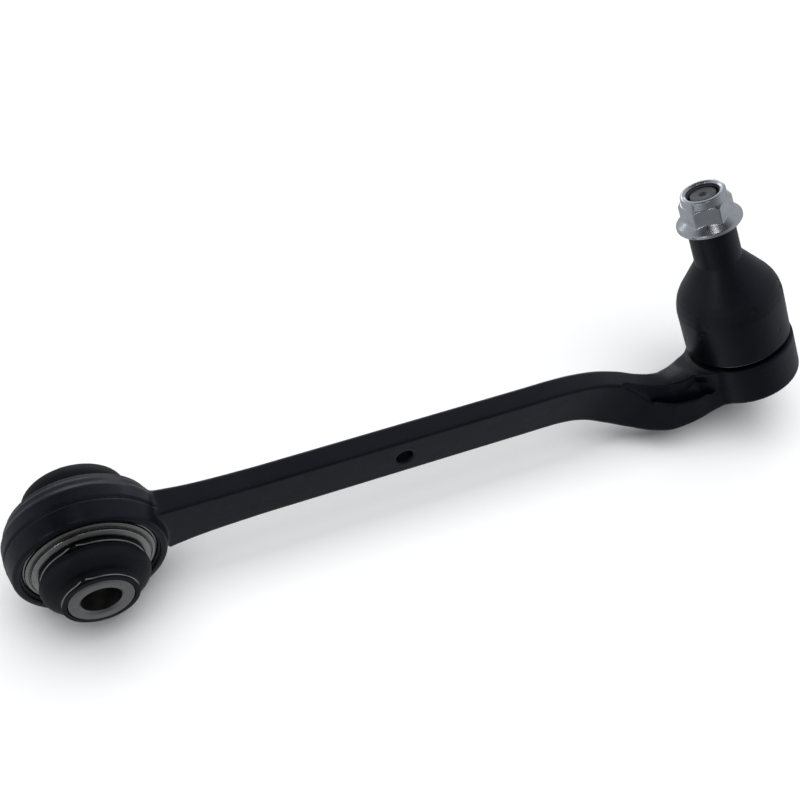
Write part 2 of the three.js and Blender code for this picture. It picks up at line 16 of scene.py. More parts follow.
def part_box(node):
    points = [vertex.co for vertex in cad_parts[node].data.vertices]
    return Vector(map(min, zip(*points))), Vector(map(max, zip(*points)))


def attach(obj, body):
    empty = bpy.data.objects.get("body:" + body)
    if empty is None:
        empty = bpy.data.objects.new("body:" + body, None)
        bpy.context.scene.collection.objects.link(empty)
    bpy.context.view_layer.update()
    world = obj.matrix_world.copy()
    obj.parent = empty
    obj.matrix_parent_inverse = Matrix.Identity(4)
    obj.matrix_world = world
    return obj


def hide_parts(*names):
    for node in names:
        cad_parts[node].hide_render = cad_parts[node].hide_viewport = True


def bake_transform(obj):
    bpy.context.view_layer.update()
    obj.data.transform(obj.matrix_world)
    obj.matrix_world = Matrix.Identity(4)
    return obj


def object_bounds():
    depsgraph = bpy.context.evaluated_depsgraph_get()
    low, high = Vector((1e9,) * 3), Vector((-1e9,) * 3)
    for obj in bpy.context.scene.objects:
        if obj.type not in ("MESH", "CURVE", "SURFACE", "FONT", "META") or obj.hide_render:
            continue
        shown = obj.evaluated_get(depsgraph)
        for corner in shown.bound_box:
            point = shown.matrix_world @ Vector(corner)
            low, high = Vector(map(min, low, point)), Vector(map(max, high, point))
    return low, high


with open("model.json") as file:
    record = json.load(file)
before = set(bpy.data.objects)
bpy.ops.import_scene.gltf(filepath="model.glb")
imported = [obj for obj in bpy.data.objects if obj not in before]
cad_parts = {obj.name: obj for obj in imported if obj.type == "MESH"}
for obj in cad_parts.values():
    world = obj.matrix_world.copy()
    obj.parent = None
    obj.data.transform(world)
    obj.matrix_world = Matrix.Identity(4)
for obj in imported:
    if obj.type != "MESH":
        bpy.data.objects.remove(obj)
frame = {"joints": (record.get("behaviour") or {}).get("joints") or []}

cad_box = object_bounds()

# ---------------------------------------------------------------- driving sizes, in millimetres
MM = 0.001
JOINTS = {joint["name"]: joint for joint in frame["joints"]}
STUD_AXIS = np.array(JOINTS["stud_spin"]["axis"])
BALL_CENTRE = np.array(JOINTS["stud_tilt"]["pos_m"]) / MM
STUD_REAR = np.array(JOINTS["stud_tilt"]["axis"])
STUD_SIDE = np.cross(STUD_REAR, STUD_AXIS)

EYE_RADIUS = 33.3
EYE_HALF_WIDTH = 12.2
EYE_BORE = 25.3
EYE_MOUTH = 27.5
EYE_SEAT_HALF = 9.2
BAR_HALF_HEIGHT = 11.4
BAR_HALF_DEPTH = 5.7
BAR_HOLE_X = 142.0
BAR_HOLE_RADIUS = 4.1
HOUSING_RADIUS = 25.65
HOUSING_HALF_HEIGHT = 10.2
HOUSING_BORE = 15.5
HOUSING_LIP_RADIUS = 21.4
HOUSING_LIP_BOTTOM = -11.3
EYE_END_X = 70.0
HOUSING_START_X = 262.0

SLEEVE_RADIUS = 13.5
SLEEVE_BORE = 8.25
SLEEVE_HALF_LENGTH = 29.7
SLEEVE_BALL = 20.0
CLAMP_RADIUS = 0.5
CLAMP_GAP = 9.0
CLAMP_TAIL_LIFT = 1.15
CLAMP_TAIL_PART = 0.028
RING_RADIUS = 0.75

BALL_RADIUS = 12.0
THREAD_RADIUS = 6.85
THREAD_PITCH = 1.5
STUD_TOP = 94.4
COVER_RADIUS = 24.9
COVER_SHOULDER = 35.0
NUT_SEAT = 79.6
NUT_ACROSS_FLATS = 21.0
NUT_HEX_TOP = 92.0
NUT_COLLAR_TOP = 96.2
NUT_COLLAR_RADIUS = 10.2
NUT_TURN = 27.0
NUT_BORE = 7.1
NUT_CORNER = 11.98

ROUND_STEPS = 160
FORGING_CELL = 0.62

CAMERA_PLACE = Vector((8.3, -265.74, 393.38)) * MM
CAMERA_RIGHT = Vector((0.92216, -0.38281, 0.05554))
CAMERA_UP = Vector((0.26464, 0.72908, 0.63119))
CAMERA_BACK = CAMERA_RIGHT.cross(CAMERA_UP)
CAMERA_LENS = 48.88
CAMERA_SHIFT = (-0.00104, 0.00704)
LIGHTS_AIM = Vector((150.0, 10.0, 20.0)) * MM


# ---------------------------------------------------------------- places and profiles
class Place:
    """A turning axis in the row frame: its origin, its axis and the two directions across it."""

    def __init__(self, origin, across, beside, axis):
        self.origin = np.array(origin, float)
        self.basis = np.array([across, beside, axis], float)

    def points(self, radius, angle, height):
        """Row frame points from radius, angle in radians and height along the axis."""
        local = np.stack([radius * np.cos(angle), radius * np.sin(angle), height], -1)
        return self.origin + local @ self.basis

    def local(self, points):
        """Coordinates across, beside and along the axis."""
        return (points - self.origin) @ self.basis.T


SLEEVE = Place((0, 0, 0), (1, 0, 0), (0, 0, 1), (0, 1, 0))
STUD = Place(BALL_CENTRE, STUD_SIDE, STUD_REAR, STUD_AXIS)


def rounded(profile, radius, loop=False, segments=3):
    """The profile with its corners turned into short curves. A corner may carry its own radius."""
    count = len(profile)
    result = []
    for i, entry in enumerate(profile):
        here = Vector(entry[:2])
        if not loop and i in (0, count - 1):
            result.append(tuple(here))
            continue
        before = Vector(profile[i - 1][:2]) - here
        after = Vector(profile[(i + 1) % count][:2]) - here
        size = entry[2] if len(entry) > 2 else radius
        angle = before.angle(after)
        if angle > math.radians(172) or size == 0:
            result.append(tuple(here))
            continue
        reach = min(size / math.tan(angle / 2), 0.45 * before.length, 0.45 * after.length)
        start = here + before.normalized() * reach
        end = here + after.normalized() * reach
        for k in range(segments + 1):
            t = k / segments
            result.append(tuple(start * (1 - t) ** 2 + here * 2 * t * (1 - t) + end * t ** 2))
    return result


def arc(radius, start, end, count, centre=(0.0, 0.0)):
    """Points on a circular arc in the profile plane; angles in degrees from the radial direction."""
    angles = np.radians(np.linspace(start, end, count + 1))
    return [(centre[0] + radius * math.cos(a), centre[1] + radius * math.sin(a)) for a in angles]


def flowing(points, count):
    """Smooth open curve through a few points of any dimension."""
    knots = np.array(points, float)
    padded = np.vstack([2 * knots[0] - knots[1], knots, 2 * knots[-1] - knots[-2]])
    result = []
    for t in np.linspace(0, len(knots) - 1, count):
        i = min(int(t), len(knots) - 2)
        u = t - i
        a, b, c, d = padded[i:i + 4]
        bend = 2 * b + (c - a) * u + (2 * a - 5 * b + 4 * c - d) * u ** 2 + (3 * b - a - 3 * c + d) * u ** 3
        result.append(tuple(bend / 2))
    return result


def mirrored(profile, side):
    """The profile on the front (-1) or rear (+1) side of the eye."""
    return [(point[0], side * point[1], *point[2:]) for point in profile]


def refined(profile, step, loop=False):
    """The profile with points added so that no stretch is longer than step."""
    ends = profile[1:] + (profile[:1] if loop else [])
    result = []
    for (r0, h0), (r1, h1) in zip(profile, ends):
        parts = max(1, math.ceil(math.hypot(r1 - r0, h1 - h0) / step))
        for k in range(parts):
            result.append((r0 + (r1 - r0) * k / parts, h0 + (h1 - h0) * k / parts))
    return result if loop else result + [profile[-1]]


# ---------------------------------------------------------------- making meshes
def new_piece(name, points, faces, sharp=38.0):
    """A shaded mesh object from points in millimetres, faces turned outward."""
    mesh = bpy.data.meshes.new(name)
    mesh.from_pydata((np.asarray(points) * MM).tolist(), [], faces)
    build = bmesh.new()
    build.from_mesh(mesh)
    bmesh.ops.recalc_face_normals(build, faces=build.faces)
    if build.calc_volume(signed=True) < 0:
        bmesh.ops.reverse_faces(build, faces=build.faces)
    build.to_mesh(mesh)
    build.free()
    mesh.shade_smooth()
    mesh.set_sharp_from_angle(angle=math.radians(sharp))
    piece = bpy.data.objects.new(name, mesh)
    bpy.context.scene.collection.objects.link(piece)
    return piece


def turned_grid(place, profile, steps, shape=None):
    """Rows of points round the axis. shape may move radius and height arrays, given the angles."""
    angle = np.linspace(0, 2 * math.pi, steps, endpoint=False)[None, :]
    radius = np.array([p[0] for p in profile])[:, None] + 0 * angle
    height = np.array([p[1] for p in profile])[:, None] + 0 * angle
    if shape:
        radius, height = shape(radius, height, angle + 0 * radius)
    return place.points(radius, angle, height)


def lathe(name, place, profile, steps=ROUND_STEPS, shape=None, sharp=38.0):
    """Closed turned piece. The profile is a loop, or runs from the axis back to the axis."""
    solid = profile[0][0] < 1e-6 and profile[-1][0] < 1e-6
    ring_profile = profile[1:-1] if solid else profile
    grid = turned_grid(place, ring_profile, steps, shape)
    rows = len(ring_profile)
    points = list(grid.reshape(-1, 3))
    faces = []
    for row in range(rows - 1 if solid else rows):
        below = row * steps
        above = (row + 1) % rows * steps
        for i in range(steps):
            j = (i + 1) % steps
            faces.append((below + i, below + j, above + j, above + i))
    if solid:
        for height, row in ((profile[0][1], 0), (profile[-1][1], rows - 1)):
            points.append(place.points(np.array(0.0), np.array(0.0), np.array(height)))
            pole = len(points) - 1
            faces += [(pole, row * steps + i, row * steps + (i + 1) % steps) for i in range(steps)]
    return new_piece(name, points, faces, sharp)


def tube(name, path, radius, sides=14):
    """Round wire along a path of points, with domed ends."""
    path = np.array(path, float)
    along = np.gradient(path, axis=0)
    along /= np.linalg.norm(along, axis=1)[:, None]
    across = np.cross(along[0], (0.31, 0.77, 0.55))
    angle = np.linspace(0, 2 * math.pi, sides, endpoint=False)[:, None]
    rings = []
    for point, direction in zip(path, along):
        across = across - direction * (across @ direction)
        across /= np.linalg.norm(across)
        beside = np.cross(direction, across)
        rings.append((point, direction, np.cos(angle) * across + np.sin(angle) * beside))
    dome = [(-0.98, 0.2), (-0.78, 0.62), (-0.42, 0.91)]
    first, last = rings[0], rings[-1]
    sections = [first[0] + first[1] * radius * h + first[2] * radius * r for h, r in dome]
    sections += [point + ring * radius for point, _, ring in rings]
    sections += [last[0] - last[1] * radius * h + last[2] * radius * r for h, r in reversed(dome)]
    faces = []
    for row in range(len(sections) - 1):
        for i in range(sides):
            j = (i + 1) % sides
            faces.append((row * sides + i, row * sides + j, (row + 1) * sides + j, (row + 1) * sides + i))
    top = (len(sections) - 1) * sides
    faces += [tuple(range(sides)), tuple(range(top, top + sides))]
    return new_piece(name, np.concatenate(sections), faces, 60)


def round_ring(name, place, radius, height):
    """Closed ring of round section on a turning axis."""
    section = [(radius + RING_RADIUS * math.cos(a), height + RING_RADIUS * math.sin(a))
               for a in np.linspace(0, 2 * math.pi, 16, endpoint=False)]
    return lathe(name, place, section, 120, sharp=180)


# ---------------------------------------------------------------- distance functions
def polygon_distance(x, y, corners):
    """Signed distance in the plane to a closed polygon, negative inside. Corners may be arrays."""
    nearest = np.full(np.shape(x), 1e9)
    inside = np.zeros(np.shape(x), bool)
    for (ax, ay), (bx, by) in zip(corners, corners[1:] + corners[:1]):
        ex, ey = bx - ax, by - ay
        px, py = x - ax, y - ay
        t = np.clip((px * ex + py * ey) / (ex * ex + ey * ey), 0, 1)
        nearest = np.minimum(nearest, (px - t * ex) ** 2 + (py - t * ey) ** 2)
        crosses = (ay > y) != (by > y)
        inside ^= crosses & (px * ey * np.sign(ey) < py * ex * np.sign(ey))
    return np.sqrt(nearest) * np.where(inside, -1.0, 1.0)


def turned_distance(place, points, profile):
    """Signed distance to a solid turned about an axis; the profile runs from axis to axis."""
    local = place.local(points)
    radius = np.hypot(local[:, 0], local[:, 1])
    across = [(-r, h) for r, h in reversed(profile) if r > 1e-6]
    return polygon_distance(radius, local[:, 2], [p for p in profile if p[0] > 1e-6] + across)


def joined(a, b, fillet):
    """The lesser of two values, rounded where they cross. It joins two distances with a fillet."""
    h = np.clip(0.5 + 0.5 * (b - a) / fillet, 0, 1)
    return b * (1 - h) + a * h - fillet * h * (1 - h)


def cut(a, tool, softness=0.3):
    """Distance a with the tool taken away, its edge softened."""
    return -joined(-a, tool, softness)


def sampled(distance, axes, reach, block=4):
    """The distance on a grid: exact near the surface, and one rough value for each block elsewhere."""
    size = [len(axis) for axis in axes]
    middles = [axis[::block] + (axis[1] - axis[0]) * (block - 1) / 2 for axis in axes]
    coarse_points = np.stack(np.meshgrid(*middles, indexing="ij"), -1)
    coarse = distance(coarse_points.reshape(-1, 3)).reshape(coarse_points.shape[:3])
    field = coarse.repeat(block, 0).repeat(block, 1).repeat(block, 2)[:size[0], :size[1], :size[2]].copy()
    near = np.argwhere(np.abs(field) < reach)
    points = np.stack([axes[k][near[:, k]] for k in range(3)], -1)
    field[tuple(near.T)] = distance(points)
    return field


def skin(name, distance, low, high, cell, sharp=50.0):
    """Closed mesh of the surface where the distance is zero, found cell by cell on a cubic grid."""
    axes = [np.arange(a, b + cell, cell) for a, b in zip(low, high)]
    field = sampled(distance, axes, cell * 4.6)
    solid = field < 0
    cells = np.zeros([n - 1 for n in field.shape], np.int8)
    corners = [(i, j, k) for i in (0, 1) for j in (0, 1) for k in (0, 1)]

    def shifted(array, corner):
        return array[tuple(slice(c, n - 1 + c) for c, n in zip(corner, field.shape))]

    for corner in corners:
        cells += shifted(solid, corner)
    active = np.argwhere((cells > 0) & (cells < 8))
    index = np.full(cells.shape, -1, np.int32)
    index[tuple(active.T)] = np.arange(len(active))
    total = np.zeros((len(active), 3))
    hits = np.zeros((len(active), 1))
    for start in corners:
        for axis in range(3):
            if start[axis] == 1:
                continue
            end = list(start)
            end[axis] = 1
            v0 = field[tuple((active + start).T)]
            v1 = field[tuple((active + end).T)]
            crossing = (v0 < 0) != (v1 < 0)
            t = np.where(crossing, v0 / np.where(crossing, v0 - v1, 1), 0)
            spot = np.array(start, float) + t[:, None] * np.eye(3)[axis]
            total += np.where(crossing[:, None], spot, 0)
            hits += crossing[:, None]
    points = np.array([axis[0] for axis in axes]) + (active + total / hits) * cell
    faces = []
    step = np.eye(3, dtype=int)
    for axis in range(3):
        beside, above = (axis + 1) % 3, (axis + 2) % 3
        inner = [slice(None)] * 3
        inner[axis] = slice(0, field.shape[axis] - 1)
        inner[beside] = slice(1, field.shape[beside] - 1)
        inner[above] = slice(1, field.shape[above] - 1)
        later = list(inner)
        later[axis] = slice(1, field.shape[axis])
        here, there = solid[tuple(inner)], solid[tuple(later)]
        edges = np.argwhere(here != there)
        outward = here[tuple(edges.T)]
        base = edges + step[beside] + step[above]
        quads = np.stack([index[tuple((base - step[beside] * i - step[above] * j).T)]
                          for i, j in ((1, 1), (0, 1), (0, 0), (1, 0))], -1)
        quads[~outward] = quads[~outward][:, ::-1]
        faces.append(quads)
    for _ in range(3):
        points = settled(distance, points, cell)
    return new_piece(name, points, np.concatenate(faces).tolist(), sharp)


def settled(distance, points, cell):
    """Points moved on to the surface along the slope of the distance."""
    value = distance(points)
    reach = 0.05 * cell
    slope = np.stack([(distance(points + reach * axis) - value) / reach for axis in np.eye(3)], -1)
    length = np.maximum((slope ** 2).sum(1), 0.25)
    move = -value[:, None] * slope / length[:, None]
    return points + np.clip(move, -0.45 * cell, 0.45 * cell)


# ---------------------------------------------------------------- forged arm
# Stations of the bar in the stud frame: along, across, up, half height, half depth, roll in degrees.
BAR_ROLL = 21.8


def straight_station(x, half_height, half_depth):
    along, across, up = STUD.local(np.array([x, 0.0, 0.0]))
    return (along, across, up, half_height, half_depth, BAR_ROLL)


BAR_STATIONS = np.array([
    straight_station(28, 14, 7.2),
    straight_station(36, 13.2, 6.6),
    straight_station(46, 12.4, 6.1),
    straight_station(60, 11.8, 5.8),
    straight_station(80, BAR_HALF_HEIGHT, BAR_HALF_DEPTH),
    straight_station(120, BAR_HALF_HEIGHT, BAR_HALF_DEPTH),
    straight_station(205, BAR_HALF_HEIGHT, BAR_HALF_DEPTH),
    straight_station(221, BAR_HALF_HEIGHT, BAR_HALF_DEPTH),
    (-88.5, 4.8, 29.2, 11.5, 5.7, BAR_ROLL),
    (-80, 4.7, 24.6, 11.9, 5.8, BAR_ROLL),
    (-70.7, 4.3, 17.6, 12.3, 6.2, 21),
    (-61.4, 3.0, 9.9, 12.4, 6.8, 19),
    (-54, -0.2, 5.5, 12.7, 8.0, 15),
    (-46.5, -2.2, 2.6, 12.4, 9.6, 10),
    (-38, -1.8, 0.8, 10.9, 11.6, 5),
    (-30, -0.6, 0, 10.2, 13, 1),
    (-20, 0, 0, 10.2, 14.6, 0),
])
# Edge radii of the bar: front low, front high, rear high, rear low.
BAR_EDGES = (2.0, 0.9, 2.2, 2.0)
# Rows of the pocket: along, then the web face, the floor and the rib crest as across and up.
POCKET_ROWS = np.array([
    (-66, -3.4, 27, -4.6, 25.2, -7.6, 25.6),
    (-60, -3.6, 20.5, -5, 16.5, -7.9, 17.6),
    (-55.5, -4.1, 14, -6, 8.6, -8.9, 12.2),
    (-51, -5.9, 11, -7.2, 4.5, -10, 8.4),
    (-45.5, -7.6, 8, -8.9, 0, -11.8, 5.6),
    (-39, -7.7, 6, -9.3, -2.5, -12.6, 3.6),
    (-33, -6.4, 6, -9.6, -3, -13.2, 2.4),
    (-30.9, -6, 6, -10.2, -2.5, -13.8, 2.2),
    (-27, -10.2, 6, -12.6, -1, -15.4, 2.2),
    (-22.5, -14.8, 6, -16, 0.5, -18.8, 2),
])


def station_table(rows, count=600):
    """Fine table of the bar's stations: smooth between them, and never past them."""
    along = rows[:, 0]
    rate = np.diff(rows, axis=0) / np.diff(along)[:, None]
    left, right = rate[:-1], rate[1:]
    same_way = left * right > 0
    middle = np.where(same_way, 2 * left * right / np.where(same_way, left + right, 1), 0)
    slope = np.vstack([rate[:1], middle, rate[-1:]])
    where = np.linspace(along[0], along[-1], count)
    i = np.clip(np.searchsorted(along, where, side="right") - 1, 0, len(along) - 2)
    span = (along[i + 1] - along[i])[:, None]
    t = ((where - along[i]) / span[:, 0])[:, None]
    table = ((2 * t ** 3 - 3 * t ** 2 + 1) * rows[i] + (t ** 3 - 2 * t ** 2 + t) * span * slope[i]
             + (3 * t ** 2 - 2 * t ** 3) * rows[i + 1] + (t ** 3 - t ** 2) * span * slope[i + 1])
    rise = slope[i, 2] + (slope[i + 1, 2] - slope[i, 2]) * t[:, 0]
    return np.column_stack([table, rise])


BAR_TABLE = station_table(BAR_STATIONS)


def bar_distance(local):
    """Signed distance to the bar for points in the stud frame."""
    along = local[:, 0].copy()
    for _ in range(5):
        up, rise = (np.interp(along, BAR_TABLE[:, 0], BAR_TABLE[:, k]) for k in (2, 6))
        along += ((local[:, 0] - along) + (local[:, 2] - up) * rise) / (1 + rise ** 2) * 0.9
    across, up, half_height, half_depth, roll, rise = (
        np.interp(along, BAR_TABLE[:, 0], BAR_TABLE[:, k]) for k in (1, 2, 3, 4, 5, 6))
    tangent = np.stack([np.ones_like(rise), 0 * rise, rise], -1) / np.hypot(1, rise)[:, None]
    turn = np.radians(roll)
    depth = np.stack([0 * turn, np.cos(turn), np.sin(turn)], -1)
    depth -= tangent * (tangent * depth).sum(1)[:, None]
    depth /= np.linalg.norm(depth, axis=1)[:, None]
    height = np.cross(tangent, depth)
    away = local - np.stack([np.clip(along, BAR_TABLE[0, 0], BAR_TABLE[-1, 0]), across, up], -1)
    d = (away * depth).sum(1)
    h = (away * height).sum(1)
    edge = np.select([(d < 0) & (h < 0), (d < 0), (h >= 0)], BAR_EDGES[:3], BAR_EDGES[3])
    qd = np.abs(d) - half_depth + edge
    qh = np.abs(h) - half_height + edge
    section = np.hypot(np.maximum(qd, 0), np.maximum(qh, 0)) + np.minimum(np.maximum(qd, qh), 0) - edge
    ends = np.maximum(BAR_TABLE[0, 0] - local[:, 0], local[:, 0] - BAR_TABLE[-1, 0])
    return np.maximum(section, ends)


def pocket_distance(local):
    """Signed distance to the pocket's hollow for points in the stud frame."""
    along = local[:, 0]
    web_x, web_y, floor_x, floor_y, crest_x, crest_y = (
        np.interp(along, POCKET_ROWS[:, 0], POCKET_ROWS[:, k]) for k in range(1, 7))
    clear = 26.0 + 0 * along
    front = -30.0 + 0 * along
    corners = [
        (web_x + 0.4, clear),
        (front, clear),
        (front, crest_y - 3.4),
        (crest_x - 2.2, crest_y - 1.6),
        (crest_x - 0.9, crest_y - 0.2),
        (crest_x + 0.7, crest_y),
        (crest_x + 2.0, crest_y - 1.5),
        (floor_x - 0.6, floor_y + 0.3),
        (floor_x + 0.8, floor_y + 0.5),
        (web_x, web_y),
    ]
    hollow = polygon_distance(local[:, 1], local[:, 2], corners)
    return np.maximum(hollow, np.maximum(POCKET_ROWS[0, 0] - along, along - POCKET_ROWS[-1, 0]))


EYE_PROFILE = rounded([
    (0, -EYE_HALF_WIDTH),
    (EYE_RADIUS - 1.9, -EYE_HALF_WIDTH, 1.4),
    (EYE_RADIUS - 0.1, -3.6, 0.5),
    (EYE_RADIUS - 0.75, -3.1, 0.2),
    (EYE_RADIUS - 0.75, -2.5, 0.2),
    (EYE_RADIUS, -2.0, 0.5),
    (EYE_RADIUS, 4.0, 0.5),
    (EYE_RADIUS - 1.0, 6.2, 1.0),
    (EYE_RADIUS - 1.5, 8.6, 0.5),
    (EYE_RADIUS - 2.6, 10.2, 0.6),
    (EYE_RADIUS - 3.2, EYE_HALF_WIDTH, 0.7),
    (0, EYE_HALF_WIDTH),
], 0.8)
EYE_BORE_PROFILE = rounded([
    (0, -EYE_HALF_WIDTH - 3),
    (EYE_MOUTH + 1.4, -EYE_HALF_WIDTH - 3),
    (EYE_MOUTH + 1.0, -EYE_HALF_WIDTH + 1.5, 0.3),
    (EYE_MOUTH, -EYE_HALF_WIDTH + 1.8, 0.2),
    (EYE_MOUTH, -EYE_SEAT_HALF),
    (EYE_BORE, -EYE_SEAT_HALF),
    (EYE_BORE, EYE_SEAT_HALF),
    (EYE_MOUTH, EYE_SEAT_HALF),
    (EYE_MOUTH, EYE_HALF_WIDTH - 0.6, 0.5),
    (EYE_MOUTH + 2.2, EYE_HALF_WIDTH + 3),
    (0, EYE_HALF_WIDTH + 3),
], 0.2)
HOUSING_PROFILE = rounded([
    (0, -HOUSING_HALF_HEIGHT),
    (16.8, -HOUSING_HALF_HEIGHT),
    (16.8, HOUSING_LIP_BOTTOM, 0.3),
    (20.2, HOUSING_LIP_BOTTOM, 0.8),
    (HOUSING_LIP_RADIUS, -HOUSING_HALF_HEIGHT),
    (HOUSING_RADIUS, -HOUSING_HALF_HEIGHT, 1.4),
    (HOUSING_RADIUS, HOUSING_HALF_HEIGHT, 1.0),
    (20.2, HOUSING_HALF_HEIGHT),
    (20.2, 12.2, 0.5),
    (19.4, 13.4, 0.5),
    (0, 13.4),
], 0.4)
HOUSING_BORE_PROFILE = rounded([
    (0, -12.5),
    (16.7, -12.5),
    (16.7, -10.7),
    (17.8, -10.7),
    (17.8, -8.9),
    (HOUSING_BORE, -8.9),
    (HOUSING_BORE, 8),
    (13.2, 8),
    (13.2, 10),
    (15.6, 14.6),
    (0, 14.6),
], 0.3)


def forging_distance(points):
    """Signed distance to the whole forging: eye, bar, pocket and housing, less the bores."""
    local = STUD.local(points)
    bar = cut(bar_distance(local), pocket_distance(local), 0.6)
    outside_lip = np.hypot(local[:, 0], local[:, 1]) > HOUSING_LIP_RADIUS
    lowest = np.where(outside_lip, -HOUSING_HALF_HEIGHT, HOUSING_LIP_BOTTOM)
    body = cut(bar, local[:, 2] - lowest, 0.8)
    at_eye = points[:, 0] < EYE_END_X
    at_housing = points[:, 0] > HOUSING_START_X
    eye_points = points[at_eye]
    eye = joined(body[at_eye], turned_distance(SLEEVE, eye_points, EYE_PROFILE), 1.8)
    body[at_eye] = cut(eye, turned_distance(SLEEVE, eye_points, EYE_BORE_PROFILE))
    housing_points = points[at_housing]
    housing = joined(body[at_housing], turned_distance(STUD, housing_points, HOUSING_PROFILE), 2.4)
    body[at_housing] = cut(housing, turned_distance(STUD, housing_points, HOUSING_BORE_PROFILE))
    hole = np.hypot(points[:, 0] - BAR_HOLE_X, points[:, 2]) - BAR_HOLE_RADIUS
    return cut(body, hole, 0.9)


def forged_arm():
    low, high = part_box("arm_forging")
    margin = 4 * FORGING_CELL
    piece = skin("forged_arm", forging_distance, np.array(low) / MM - margin, np.array(high) / MM + margin,
                 FORGING_CELL)
    return finished(piece, black_coat(), "arm", "black_coat", "arm_forging")


# ---------------------------------------------------------------- inner ball sleeve
def finished(piece, material, body, slot, *nodes):
    """Gives a piece its material, hides the nodes it stands for and hangs it on the body it rides on. The
    slot is not used.
    """
    piece.data.materials.append(material)
    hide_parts(*nodes)
    if body:
        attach(piece, body)
    return piece


def ball_sleeve():
    edge = math.degrees(math.acos(SLEEVE_RADIUS / SLEEVE_BALL))
    half = SLEEVE_HALF_LENGTH
    profile = rounded([
        (SLEEVE_BORE + 0.9, -half, 0.25),
        (SLEEVE_RADIUS - 0.6, -half, 0.25),
        (SLEEVE_RADIUS, -half + 0.6, 0.25),
        *[(r, h, 0) for r, h in arc(SLEEVE_BALL, -edge, edge, 32)],
        (SLEEVE_RADIUS, half - 0.6, 0.25),
        (SLEEVE_RADIUS - 0.6, half, 0.25),
        (SLEEVE_BORE + 0.9, half, 0.25),
        (SLEEVE_BORE, half - 0.9, 0.25),
        (SLEEVE_BORE, -half + 0.9, 0.25),
    ], 0.2, loop=True)
    piece = lathe("sleeve_with_ball", SLEEVE, refined(profile, 2.0, loop=True))
    finished(piece, turned_steel(), "sleeve", "turned_steel", "ball_sleeve")


def sleeve_race(label, side):
    sphere = SLEEVE_BALL + 0.3
    outer = EYE_BORE - 0.3
    top = EYE_SEAT_HALF - 0.2
    low_angle, high_angle = (math.degrees(math.asin(h / sphere)) for h in (0.15, top))
    groove = [(outer, top - 0.6)]
    for middle in (6.4, 3.4):
        groove += [(outer, middle + 0.7), (outer - 0.5, middle + 0.35), (outer - 0.5, middle - 0.35),
                   (outer, middle - 0.7)]
    profile = arc(sphere, low_angle, high_angle, 14) + [(outer - 0.6, top)] + groove + [(outer, 0.15)]
    piece = lathe(f"race_{label}", SLEEVE, mirrored(profile, side), 128)
    finished(piece, seat_plastic(), "sleeve_bearing", "seat_plastic", f"sleeve_race_{label}")


def closing_ring(label, side):
    profile = rounded([
        (EYE_MOUTH - 0.3, 9.5, 0.2),
        (EYE_MOUTH - 0.3, 9.9, 0.1),
        (26.6, 10.0, 0.1),
        (26.5, 11.0, 0.4),
        (25.1, 11.5, 0.35),
        (24.8, 10.9, 0.1),
        (24.5, 10.9, 0.1),
        (24.3, 12.6, 0.6),
        (22.6, 13.45, 0.5),
        (19.9, 13.7, 0.3),
        (19.9, 16.6, 0.3),
        (19.0, 16.6, 0.3),
        (19.0, 12.9, 0.3),
        (22.2, 12.2, 0.3),
        (23.2, 9.5, 0.3),
    ], 0.3, loop=True)
    piece = lathe(f"lip_ring_{label}", SLEEVE, mirrored(profile, side))
    finished(piece, ring_steel(), "arm", "turned_steel", f"closing_ring_{label}")


# Bulge of each boot between its foot and its collar; the rear one stands fuller.
BOOT_BULGES = {
    "front": [(22.1, 17.4), (22.5, 19.4), (21.3, 22.3), (18.5, 24.4), (15.9, 25.3)],
    "rear": [(22.0, 17.4), (22.7, 19.6), (22.4, 22.4), (21.1, 24.9), (18.2, 26.6)],
}
BOOT_INSIDES = {
    "front": [(14.4, 24.8), (16.8, 23.5), (19.3, 21.5), (20.8, 19.4), (20.5, 17.9)],
    "rear": [(14.6, 26.1), (18.2, 24.9), (20.6, 22.4), (21.1, 19.8), (20.6, 17.9)],
}


def sleeve_boot(label, side):
    outside = flowing([
        (21.8, 13.95), (20.9, 14.4), (20.55, 15.2), (20.95, 15.9), *BOOT_BULGES[label],
        (14.6, 26.6), (14.35, 27.7), (14.8, 28.5), (15.6, 28.8), (15.6, 29.3),
    ], 72)
    inside = flowing([
        (13.8, 29.4), (13.8, 27.3), *BOOT_INSIDES[label], (20.15, 16.6), (20.15, 14.2),
    ], 36)
    piece = lathe(f"boot_{label}", SLEEVE, mirrored(outside + inside, side), 144, sharp=60)
    finished(piece, black_rubber(), None, "black_rubber", f"{label}_boot")
    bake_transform(piece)


def boot_wire(name, node, body, radius, height, end_angle):
    """Sprung wire clamp: nearly a full turn, with its two tails bent outward at the gap."""
    path = []
    for t in np.linspace(0, 1, 121):
        angle = math.radians(end_angle + CLAMP_GAP / 2 + (360 - CLAMP_GAP) * t)
        lift = CLAMP_TAIL_LIFT * max(0.0, 1 - min(t, 1 - t) / CLAMP_TAIL_PART) ** 1.5
        path.append(SLEEVE.points(np.array(radius + lift), np.array(angle), np.array(height)))
    finished(tube(name, path, CLAMP_RADIUS), wire_steel(), body, "wire_steel", node)


def sleeve_joint():
    ball_sleeve()
    for label, side in (("front", -1), ("rear", 1)):
        sleeve_race(label, side)
        closing_ring(label, side)
        sleeve_boot(label, side)
        foot = f"{label}_boot_foot_wire"
        boot_wire(f"foot_wire_{label}", foot, "arm", 21.05, side * 15.2, 103)
        collar = f"{label}_boot_collar_wire"
        boot_wire(f"collar_wire_{label}", collar, "boot_collars", 15.1, side * 27.75, 106)


